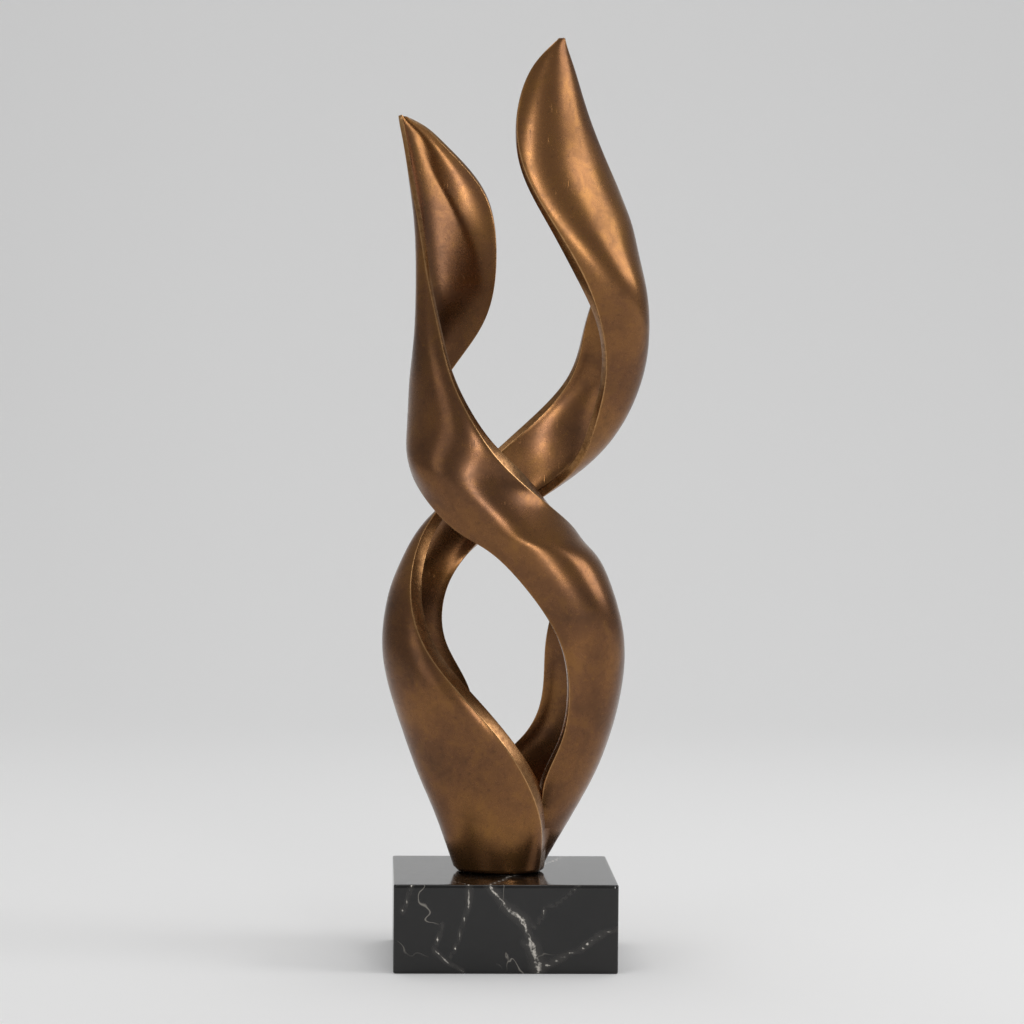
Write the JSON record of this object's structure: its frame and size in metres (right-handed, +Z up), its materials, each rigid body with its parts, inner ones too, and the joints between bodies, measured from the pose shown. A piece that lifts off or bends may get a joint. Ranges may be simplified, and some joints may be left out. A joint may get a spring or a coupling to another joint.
{
  "type": "abstract metal sculpture",
  "caption": "Cast bronze abstract sculpture of two twisted flame-like ribbons on a square block of polished black marble.",
  "frame": {"origin": "centre of the marble plinth's underside, on the surface that it stands on", "axes": "+Z up through the bronze, +X to the tall leaf's side, -Y to the front, where the short ribbon crosses before the tall one"},
  "size_m": [0.1808, 0.15, 0.6246],
  "materials": {
    "bronze": "satin",
    "marble": "polished"
  },
  "bodies": {
    "root": {"bronze_flame": "bronze", "marble_plinth": "marble"}
  },
  "joints": []
}
